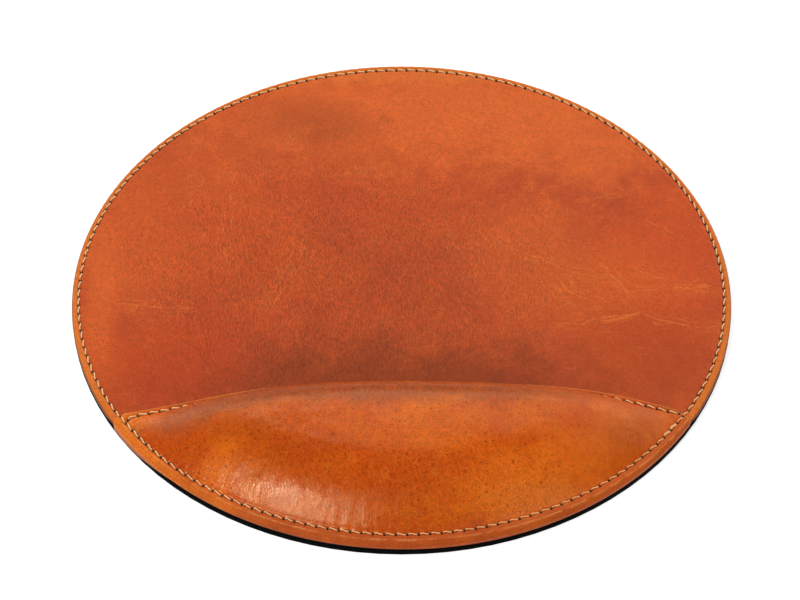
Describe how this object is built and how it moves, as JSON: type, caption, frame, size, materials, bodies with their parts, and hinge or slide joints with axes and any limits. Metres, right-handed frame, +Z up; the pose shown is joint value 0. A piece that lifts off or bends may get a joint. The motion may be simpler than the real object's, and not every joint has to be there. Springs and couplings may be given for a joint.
{
  "type": "mouse pad",
  "caption": "Oval leather mouse pad on a non-slip mat, with a padded leather wrist rest sewn over its front edge and contrast stitching all the way round.",
  "frame": {"origin": "on the table, under the middle of the oval outline", "axes": "+X to the user's right along the oval's longer axis, +Y away from the user, +Z up"},
  "size_m": [0.26, 0.245, 0.0183],
  "materials": {
    "rubber_mat": "matt black non-slip rubber",
    "surface_leather": "waxed tan leather with a fine grain and a soft marbling",
    "rest_leather": "glossier tan leather, mottled",
    "foam": "open-cell foam",
    "thread": "waxed cream thread"
  },
  "bodies": {
    "root": {"non_slip_mat": "rubber_mat", "mouse_surface_leather": "surface_leather", "wrist_rest_core": "foam", "wrist_rest_cover": "rest_leather", "border_needle_thread": "thread", "seam_needle_thread": "thread", "border_bobbin_thread": "thread", "seam_bobbin_thread": "thread"}
  },
  "joints": []
}
